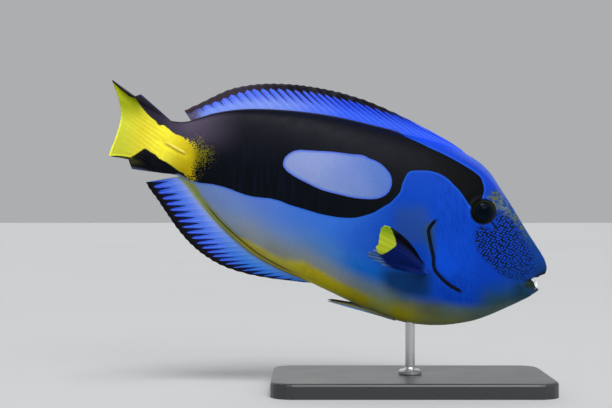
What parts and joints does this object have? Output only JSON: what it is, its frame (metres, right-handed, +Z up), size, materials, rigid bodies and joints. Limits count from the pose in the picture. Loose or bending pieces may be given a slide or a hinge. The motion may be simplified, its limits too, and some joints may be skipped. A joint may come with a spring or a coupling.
{
  "type": "regal blue tang fish model",
  "caption": "Life-size still model of a regal blue tang, a deep, flat-sided blue, black and yellow reef fish, swimming nose down on a plain display stand.",
  "frame": {"origin": "centre of the flat underside of the stand's base", "axes": "+X towards the fish's head, +Y away from its right flank, +Z up"},
  "size_m": [0.2, 0.1008, 0.1437],
  "materials": {
    "skin": "moist satin skin with minute scales: royal blue, with a black flank band, a pale blue oval in it and a yellow tail wedge",
    "eye": "wet and glossy, near-black pupil in a dark olive iris",
    "scalpel": "satin pale bone, yellow tinted",
    "teeth": "satin ivory",
    "stand_base": "satin black",
    "stand_rod": "brushed"
  },
  "bodies": {
    "root": {"head": "skin", "trunk": "skin", "tail_stalk": "skin", "caudal_fin": "skin", "dorsal_fin": "skin", "anal_fin": "skin", "pectoral_fin_R": "skin", "pectoral_fin_L": "skin", "pelvic_fin_R": "skin", "pelvic_fin_L": "skin", "eye_R": "eye", "eye_L": "eye", "scalpel_R": "scalpel", "scalpel_L": "scalpel", "teeth_lower": "teeth", "stand_base": "stand_base", "stand_rod": "stand_rod"}
  },
  "joints": []
}
